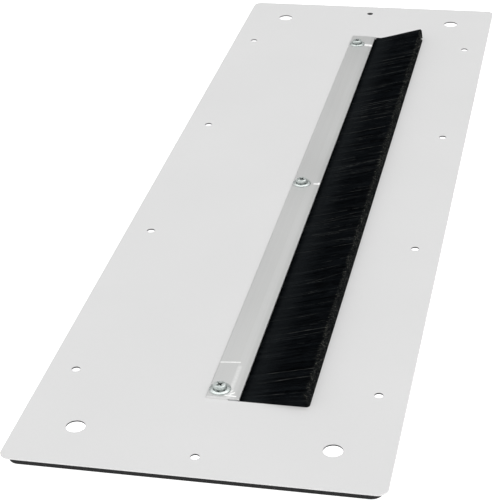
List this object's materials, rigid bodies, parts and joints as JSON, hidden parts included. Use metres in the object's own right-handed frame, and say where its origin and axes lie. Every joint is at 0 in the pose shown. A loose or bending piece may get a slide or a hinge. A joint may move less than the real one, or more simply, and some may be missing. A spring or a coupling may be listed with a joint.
{
  "type": "cable entry wall plate",
  "caption": "flat rectangular steel plate with a long slot for cables, closed by a black brush in an aluminium holder, with fixing holes round its edge and a foam seal behind",
  "frame": {"origin": "centre of the plate, on the face that meets the wall (the underside of the foam seal)", "axes": "+X across the plate, from the brush holder towards the bristle tips; +Y along the plate's length; +Z out of the wall"},
  "size_m": [0.25, 0.81, 0.0157],
  "materials": {
    "plate_coat": "satin powder coat",
    "seal_foam": "matt foam",
    "holder_aluminium": "mill finish",
    "strip_steel": "galvanised",
    "bristle_nylon": "matt strands",
    "zinc_steel": "bright zinc plate"
  },
  "bodies": {
    "root": {"wall_plate": "plate_coat", "seal_near": "seal_foam", "seal_far": "seal_foam", "seal_left": "seal_foam", "seal_right": "seal_foam", "brush_holder": "holder_aluminium", "brush_strip": "strip_steel", "brush_wire": "strip_steel", "bristles": "bristle_nylon", "holder_screw_1": "zinc_steel", "holder_screw_2": "zinc_steel", "holder_screw_3": "zinc_steel", "wide_washer_1": "zinc_steel", "wide_washer_2": "zinc_steel", "wide_washer_3": "zinc_steel", "toothed_washer_1": "zinc_steel", "toothed_washer_2": "zinc_steel", "toothed_washer_3": "zinc_steel", "nut_1": "zinc_steel", "nut_2": "zinc_steel", "nut_3": "zinc_steel"}
  },
  "joints": []
}
